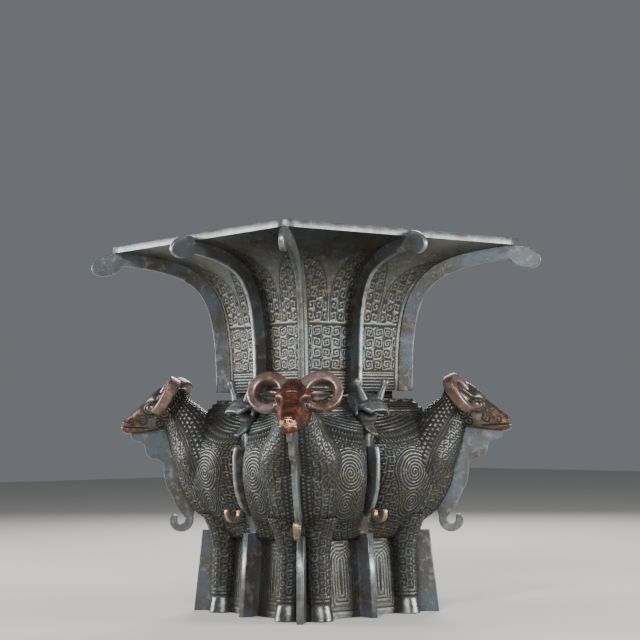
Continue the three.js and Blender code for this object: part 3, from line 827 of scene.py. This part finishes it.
def dragon_head():
    """An upper jaw that arches over an open mouth, with brows, eyes and scrolls, and a pointed tongue. The
    underside of the jaw is lifted close under its upper side, from the throat forwards. The roof of the
    mouth and the root of the tongue are marked near-black as painted shade inside the mouth."""
    jaw_thickness = 3.4
    upper, turn = dragon_loft([(-10, -12, 36, 26), (24, -14, 42, 27), (48, -20, 42, 22), (68, -30, 38, 14),
                               (82, -38, 27, 10)], 52, 56)
    place = (upper - [SHOULDER_HALF, 0, SHOULDER_TOP]) / DRAGON
    out, aside = place[:, :, 0], np.abs(place[:, :, 1])
    rise = np.sin(turn)
    above = smooth(0, 0.25, rise)
    eye = np.hypot(out - 46, aside - 25)
    sink = 1.6 * bell(eye - 10, 2.4) * above + 1.3 * bell(np.hypot(out - 74, aside - 9), 4) * above
    swell = 2.0 * bell(eye, 6) * above + 1.2 * bell(aside, 6) * above * smooth(86, 56, out)
    scroll = cut(eye / 8, 0.5) * (eye > 13) * (eye < 37) * above * smooth(72, 62, out)
    rim = bell(np.abs(rise) - 0.25, 0.18) * (turn < math.pi) * smooth(24, 34, out)
    rim = np.maximum(rim, smooth(72, 78, out) * above)
    shaped = sunk(upper, sink - swell + 0.8 * scroll - 0.9 * rim)
    mouth = smooth(16, 40, out) * (rise < -1e-6)
    roof = upper[:, -np.arange(upper.shape[1])] - [0, 0, jaw_thickness]
    shaped = shaped * (1 - mouth[:, :, None]) + roof * mouth[:, :, None]
    # Near-black: soil in the scrolls and in the sunk eyes and nostrils, partly painted shade, and painted
    # shade over the roof of the mouth
    dark = np.clip(0.9 * scroll + sink / 2 + mouth, 0, 1)
    lower, _ = dragon_loft([(4, -50, 34, 25), (26, -52, 34, 22), (34, -68, 22, 12), (54, -85, 13, 6),
                            (68, -94, 7, 5)], 40, 32)
    place = (lower - [SHOULDER_HALF, 0, SHOULDER_TOP]) / DRAGON
    out = place[:, :, 0]
    furrow = bell(place[:, :, 1], 9) * smooth(16, 30, out) * smooth(66, 54, out)
    furrow = furrow * smooth(-0.2, 0.4, outward(lower)[:, :, 2])
    lower[:, :, 2] -= 2.2 * furrow
    # The tongue's root, towards the throat under the upper jaw, is marked near-black as painted shade inside
    # the mouth
    return [grid(shaped, "hood", groove=dark, wear=0.25 * rim + 0.08),
            grid(lower, "fans", groove=np.maximum(0.6 * furrow, smooth(52, 40, out)), wear=0.15)]


def dragon_horn():
    """A post that narrows as it leans out, then swells into a knob. Each row has its place aside and up,
    and its radius."""
    rows = np.array([(24, -6, 12), (32, 11, 9.5), (40, 26, 7.5), (43, 32, 9), (46, 38, 11), (48.5, 45, 10),
                     (50, 50, 4)])
    centres = on_dragon(np.column_stack([np.full(len(rows), 50), rows[:, 1], rows[:, 0]]))
    radius = rows[:, 2] * DRAGON
    points, _ = loft(centres, (1, 0, 0), radius, radius, 2, 30, 20)
    return grid(points, "fans", wear=0.3)


def dragon_cheek():
    """A flap that stands out beside the mouth."""
    centres = on_dragon([(22, -22, 28), (40, -29, 42), (56, -40, 53)])
    wide, deep = np.array([8, 6, 3]) * DRAGON, np.array([10, 11, 5]) * DRAGON
    points, _ = loft(centres, (0, 1, 0), wide, deep, 2, 20, 20)
    return grid(points, "fans", wear=0.15)


# Lip, inside and underside

def lip_line():
    """The profile of the lip, flat above, with small chamfers."""
    chamfer = 1.2
    return np.array([(RIM_HALF, LIP_BOTTOM), (RIM_HALF, RIM_TOP - chamfer), (RIM_HALF - chamfer, RIM_TOP),
                     (RIM_HALF - WALL + chamfer, RIM_TOP), (RIM_HALF - WALL, RIM_TOP - chamfer)])


def inside_line():
    """The profile of the hollow from the lip down to the floor, then nearly to the axis."""
    inner = neck_line(40, -WALL, 1, 0.03, 0.97)[::-1]
    rows = through(BELLY_ROWS[2:], 30)[::-1]
    belly = np.column_stack([rows[:, 1] * BELLY_HALF - WALL - VALLEY_DEPTH * rows[:, 3],
                             FOOT_TOP + BELLY_HEIGHT * rows[:, 0]])
    collar = [(COLLAR_HALF - WALL, NECK_BASE + WALL), (COLLAR_HALF - WALL, SHOULDER_TOP - WALL)]
    floor = FOOT_TOP + WALL / 4
    return np.concatenate([lip_line()[-1:], inner, collar, belly, [(96, floor), (60, floor), (0.5, floor)]])


def under_line():
    """The profile under the foot: its standing rim, its inner wall and the underside of the floor."""
    inner = FOOT_BOTTOM - WALL
    ceiling = FOOT_TOP - FLOOR_THICKNESS
    return np.array([(FOOT_BOTTOM, 0), (inner, 0), (inner - FOOT_SLOPE * ceiling, ceiling), (60, ceiling),
                     (0.5, ceiling)])


# Finishes

def linear(text):
    """An sRGB hex colour as linear light."""
    values = [int(text[i:i + 2], 16) / 255 for i in (1, 3, 5)]
    return tuple(v / 12.92 if v <= 0.04045 else ((v + 0.055) / 1.055) ** 2.4 for v in values) + (1.0,)


def add_node(tree, kind, inputs, output=0, **settings):
    """Adds a node with its settings, sets or links its inputs, and gives one of its outputs."""
    made = tree.nodes.new(kind)
    for name, value in settings.items():
        setattr(made, name, value)
    for name, value in inputs.items():
        if isinstance(value, bpy.types.NodeSocket):
            tree.links.new(value, made.inputs[name])
        else:
            made.inputs[name].default_value = linear(value) if isinstance(value, str) else value
    return made.outputs[output]


def patinated_bronze(name, face, shade, bloom, earth_and_shade, gloss, metal, rub_and_edge_highlight="#8d9190"):
    """Cast bronze under an old patina. Broad clouds change the face to the shade, smaller ones bring the
    bloom of corrosion, and the grain shows a little abraded metal and a few golden flecks. Red oxide shows
    where the piece is marked red, and the grooves hold near-black soil that is partly painted shade of the
    recesses. Abraded metal shows where the piece is marked for abrasion and highlight: first a pale rubbing,
    which on the flanges' edges, the lip, the horns' edges and the hooves is partly a painted highlight, then
    golden bronze where the mark is highest, and on red parts a pale copper, on the noses partly a painted
    highlight."""
    material = bpy.data.materials.new(name)
    material.use_nodes = True
    tree = material.node_tree
    tree.nodes.clear()

    # Sockets go by number. A ramp takes its value, the range that it reads and the range that it gives as
    # 0 to 4, and a mix its share as 0 and two colours as 6 and 7. Arithmetic multiplies 0 by 1, and may
    # add 2
    ramp, mix, maths = "ShaderNodeMapRange", "ShaderNodeMix", "ShaderNodeMath"
    times = {"operation": "MULTIPLY", "use_clamp": True}
    times_plus = {"operation": "MULTIPLY_ADD", "use_clamp": True}
    colours = {"data_type": "RGBA", "output": 2}

    place = add_node(tree, "ShaderNodeTexCoord", {}, "Object")
    clouds, blooms, grain, pits = (
        add_node(tree, "ShaderNodeTexNoise",
                 {"Vector": place, "Scale": 1 / (size * METRE), "Detail": detail, "Roughness": rough})
        for size, detail, rough in ((CLOUD, 3, 0.6), (BLOOM, 4, 0.62), (GRAIN, 3, 0.6), (PIT, 2, 0.5)))
    groove, wear, red = (add_node(tree, "ShaderNodeAttribute", {}, "Fac", attribute_name=mark)
                         for mark in ("groove", "wear", "red"))

    patches = add_node(tree, ramp, {0: blooms, 1: 0.38, 2: 0.56, 3: 0.5, 4: 1.0})
    oxide = add_node(tree, maths, {0: red, 1: patches}, **times)
    rust_share = add_node(tree, ramp, {0: blooms, 1: 0.44, 2: 0.6})
    rust = add_node(tree, mix, {0: rust_share, 6: "#4a2a21", 7: "#8c4d39"}, **colours)
    flecks = add_node(tree, maths, {0: blooms, 1: grain}, **times)
    # Soil in the grooves, partly painted shade of the recesses: where this mark is high the colour goes
    # near-black, matt and less metallic
    groove_earth_and_shade = add_node(tree, ramp, {0: groove, 1: 0.15, 2: 0.6})
    patchy = add_node(tree, ramp, {0: grain, 1: 0.3, 2: 0.7, 3: 1.0, 4: 0.85})
    uneven = add_node(tree, ramp, {0: blooms, 1: 0.35, 2: 0.62, 3: 0.35, 4: 1.4})
    # Patches of abraded metal; on the flanges' edges, the lip, the horns' edges, the hooves and the ends of
    # the noses they are partly painted highlights
    wear_and_highlight_patches = add_node(tree, maths, {0: wear, 1: uneven}, **times)
    rub_and_highlight = add_node(tree, ramp, {0: wear_and_highlight_patches, 1: 0.14, 2: 0.7, 4: 0.85})
    most_worn = add_node(tree, ramp, {0: wear, 1: 0.55, 2: 0.85})
    # Pale metal where the mark is lower and golden bronze where it is highest, with pale copper on red
    # parts; the pale metal and the pale copper are partly painted highlights
    bare_metal_and_highlight = add_node(tree, mix, {0: most_worn, 6: rub_and_edge_highlight, 7: "#a8865a"}, **colours)
    bare_metal_and_highlight = add_node(tree, mix, {0: red, 6: bare_metal_and_highlight, 7: "#cf9f7e"}, **colours)

    colour = face
    for share, layer in (
            (add_node(tree, ramp, {0: clouds, 1: 0.40, 2: 0.60}), shade),
            (add_node(tree, ramp, {0: blooms, 1: 0.54, 2: 0.72, 4: 0.7}), bloom),
            (add_node(tree, ramp, {0: grain, 1: 0.58, 2: 0.74, 4: 0.3}), rub_and_edge_highlight),
            (oxide, rust),
            (add_node(tree, ramp, {0: flecks, 1: 0.36, 2: 0.41, 4: 0.6}), "#8d6f42"),
            (add_node(tree, maths, {0: groove_earth_and_shade, 1: patchy}, **times), earth_and_shade),
            (rub_and_highlight, bare_metal_and_highlight)):
        colour = add_node(tree, mix, {0: share, 6: colour, 7: layer}, **colours)

    # Soil in the grooves, partly painted shade, is matt and hides the metal, and abrasion, partly a painted
    # highlight, shows it
    roughness = add_node(tree, ramp, {0: blooms, 1: 0.3, 2: 0.7, 3: gloss, 4: gloss + 0.18})
    roughness = add_node(tree, maths, {0: groove_earth_and_shade, 1: 0.4, 2: roughness}, **times_plus)
    roughness = add_node(tree, maths, {0: rub_and_highlight, 1: -0.08, 2: roughness}, **times_plus)
    metallic = add_node(tree, maths, {0: rub_and_highlight, 1: 0.4, 2: metal}, **times_plus)
    metallic = add_node(tree, maths, {0: groove_earth_and_shade, 1: -0.6, 2: metallic}, **times_plus)
    height = add_node(tree, maths, {0: pits, 1: 0.4}, **times)
    height = add_node(tree, maths, {0: grain, 1: 0.6, 2: height}, **times_plus)
    bump = add_node(tree, "ShaderNodeBump", {"Strength": 0.35, "Distance": PIT * METRE, "Height": height})
    shader = add_node(tree, "ShaderNodeBsdfPrincipled",
                      {"Base Color": colour, "Roughness": roughness, "Metallic": metallic, "Normal": bump})
    surface = tree.nodes.new("ShaderNodeOutputMaterial")
    tree.links.new(shader, surface.inputs["Surface"])
    return material


# Walls of the vessel: near-black bronze with a grey-green and brown cast, its raised lines smoothed by
# rubbing to a soft shine and near-black soil left in its grooves, partly painted shade of the recesses
relief_bronze = patinated_bronze("bronze_cast_relief_dark_patina", "#4c514f", "#4b463d", "#6e7879",
                                 "#0b0907", 0.24, 0.75)
# Flanges and other plain faces: smooth slate patina that takes a soft shine
plain_bronze = patinated_bronze("bronze_cast_plain_slate_patina", "#5a6269", "#524d48", "#848d94",
                                "#141311", 0.28, 0.45)
# The rams' heads, handled more than the rest: dark brown with red oxide, and pale copper on what stands out
# most, the ends of the noses, partly abraded metal and partly a painted highlight
handled_bronze = patinated_bronze("bronze_cast_handled_brown_patina", "#55504b", "#5b544e", "#7f7c78",
                                  "#0c0806", 0.22, 0.75)
# The rams' horns: smooth mauve and brown oxide, with a pale rubbing colour on their edges that is partly a
# painted highlight
horn_bronze = patinated_bronze("bronze_cast_horn_mauve_patina", "#866f6c", "#644c41", "#a89896",
                               "#1d1512", 0.25, 0.65, "#b5a7a3")
# Inside and under the foot: matt and darker than the outside
inner_bronze = patinated_bronze("bronze_cast_inside_matt_patina", "#2b2d29", "#322f27", "#3c4440",
                                "#151411", 0.5, 0.45)


# The pieces

def make_vessel():
    """The walls, storey by storey, with the lip, the inside and the underside. The shoulder climbs
    inwards in three steps, given as shares of its width and height, and the collar stands on it."""
    piece("neck", [square_storey(neck_line(184), 130, neck_relief, 1.0)], relief_bronze)
    edge = BELLY_HALF * BELLY_ROWS[-1][1]
    base = FOOT_TOP + BELLY_HEIGHT * BELLY_ROWS[-1][0]
    shares = np.array([(0, 0), (0.28, 0.25), (0.28, 0.42), (0.62, 0.55), (0.62, 0.74), (1, 0.82), (1, 1)])
    steps = [edge, base] + shares * [SHOULDER_HALF - edge, SHOULDER_TOP - base]
    steps, _ = spaced(np.concatenate([[(edge, base - 4)], steps]), 34)
    collar = np.array([(SHOULDER_HALF, SHOULDER_TOP), (COLLAR_HALF, SHOULDER_TOP), (COLLAR_HALF, NECK_BASE),
                       (NECK_HALF, NECK_BASE)])
    piece("shoulder", [square_storey(steps, 120, shoulder_relief, 0.8), lined(collar, 4)], relief_bronze)
    foot, _ = spaced(np.array([(FOOT_BOTTOM, 0), (FOOT_HALF, FOOT_TOP)]), 46)
    piece("foot_walls", [square_storey(foot, 136, foot_relief, 0.8)], relief_bronze)
    body = belly_quarter()
    for quarter in range(4):
        piece(f"ram_body_{quarter + 1}", [turned(body, 45 + 90 * quarter)], relief_bronze)
    # The lip is marked for abrasion and highlight: pale patches along it, partly abraded metal and partly
    # painted highlights
    piece("lip", [lined(lip_line(), 24, wear=0.3)], plain_bronze)
    piece("inside", [lined(inside_line(), 6, ends="floor", inward=True)], inner_bronze)
    piece("under_foot", [lined(under_line(), 6, ends="floor", inward=True)], inner_bronze)


def make_flanges():
    """Plates at the middles and corners of neck and foot, in the valleys and under the beards."""
    side, corner = plate(neck_flange(1, 14, 21), FLANGE), plate(neck_flange(DIAGONAL, 9, 31), FLANGE)
    piece("neck_flanges", all_round([side]) + all_round([corner], 45), plain_bronze)
    side, corner = plate(foot_flange(1), FOOT_FLANGE), plate(foot_flange(DIAGONAL), FOOT_FLANGE)
    piece("foot_flanges", all_round([side]) + all_round([corner], 45), plain_bronze)
    blade, hook = belly_flange()
    shapes = [plate(blade, FLANGE, BLADE_EDGE), plate(hook, HOOK, wear=0.45)]
    piece("belly_flanges", all_round(shapes), plain_bronze)
    beard, hook = ram_beard()
    shapes = [plate(beard, FLANGE), plate(hook, HOOK, wear=0.3)]
    piece("beard_flanges", all_round(shapes, 45), plain_bronze)


def make_rams():
    """Heads with eyes and ears, horns, necks and legs."""
    horn, eye, ear, one_leg = ram_horn(), ram_eye(), ram_ear(), leg()
    for quarter in range(4):
        shapes = [ram_head(quarter == FRONT), eye, mirrored(eye), ear, mirrored(ear)]
        shapes = [turned(shape, 45 + 90 * quarter) for shape in shapes]
        piece(f"ram_head_{quarter + 1}", shapes, handled_bronze)
    piece("ram_horns", all_round([horn, mirrored(horn)], 45), horn_bronze)
    piece("ram_necks", all_round([ram_neck()], 45), relief_bronze)
    piece("ram_legs", all_round([one_leg, mirrored(one_leg)]), relief_bronze)


def make_dragons():
    """Jaws with their tongues, horns and cheeks."""
    horn, cheek = dragon_horn(), dragon_cheek()
    shapes = dragon_head() + [horn, mirrored(horn), cheek, mirrored(cheek)]
    piece("dragon_heads", all_round(shapes), plain_bronze)


# The stage

def make_camera():
    """The camera, level with the belly and a little over two and a half metres from it, faces a corner."""
    azimuth, distance, height = math.radians(52.0), 2.7045, 0.2933
    pitch, yaw, roll = math.radians(3.5), math.radians(0.22), math.radians(-0.5)
    focal_pixels, frame_pixels, sensor = 1700.0, 640.0, 36.0
    camera = bpy.data.cameras.new("camera")
    camera.sensor_width = sensor
    camera.lens = sensor * focal_pixels / frame_pixels
    camera.clip_end = 50
    eye = placed("camera", camera)
    bearing = azimuth - yaw
    level = math.cos(pitch)
    ahead = Vector((-math.sin(bearing) * level, math.cos(bearing) * level, math.sin(pitch)))
    turn = ahead.to_track_quat("-Z", "Y").to_matrix().to_4x4() @ Matrix.Rotation(roll, 4, "Z")
    spot = Vector((math.sin(azimuth) * distance, -math.cos(azimuth) * distance, height))
    eye.matrix_world = Matrix.Translation(spot) @ turn
    bpy.context.scene.camera = eye


def make_stage():
    """A plain pale floor, an even pale sky, and soft lamps round the vessel."""
    reach = 6.0
    corners = [(-reach, -reach, 0), (reach, -reach, 0), (reach, reach, 0), (-reach, reach, 0)]
    floor_mesh = bpy.data.meshes.new("floor")
    floor_mesh.from_pydata(corners, [], [(0, 1, 2, 3)])
    floor = placed("floor", floor_mesh)
    pale = bpy.data.materials.new("floor_pale_matt")
    pale.use_nodes = True
    shader = pale.node_tree.nodes["Principled BSDF"]
    shader.inputs["Base Color"].default_value = linear("#cfccc6")
    shader.inputs["Roughness"].default_value = 0.8
    floor_mesh.materials.append(pale)
    floor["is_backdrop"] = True

    world = bpy.data.worlds.new("studio")
    world.use_nodes = True
    sky = world.node_tree.nodes["Background"]
    sky.inputs["Color"].default_value = linear("#c4c9cf")
    sky.inputs["Strength"].default_value = 0.28
    bpy.context.scene.world = world

    # Each lamp's bearing, height, side and power. The two beside stand where the flanges' faces mirror
    # them
    lamps = {"above": (38, 1.9, 0.6, 50), "left": (-50, 0.8, 1.1, 58), "right": (128, 0.8, 1.1, 58),
             "behind": (225, 1.5, 1.2, 44), "before": (58, 0.75, 0.9, 12)}
    away, aimed_at = 2.2, Vector((0, 0, 0.3))
    for name, (bearing, up, size, power) in lamps.items():
        lamp = bpy.data.lights.new(name, "AREA")
        lamp.energy = power
        lamp.size = size
        light = placed(name, lamp)
        light.visible_camera = False
        angle = math.radians(bearing)
        light.location = (math.sin(angle) * away, -math.cos(angle) * away, up)
        light.rotation_euler = (aimed_at - light.location).to_track_quat("-Z", "Y").to_euler()


make_camera()
make_stage()
make_vessel()
make_flanges()
make_rams()
make_dragons()

sizes = {"cad": cad_box, "visual": [[float(v) for v in corner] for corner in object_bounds()]}
sizes["cad"] = [[float(v) for v in corner] for corner in sizes["cad"]]
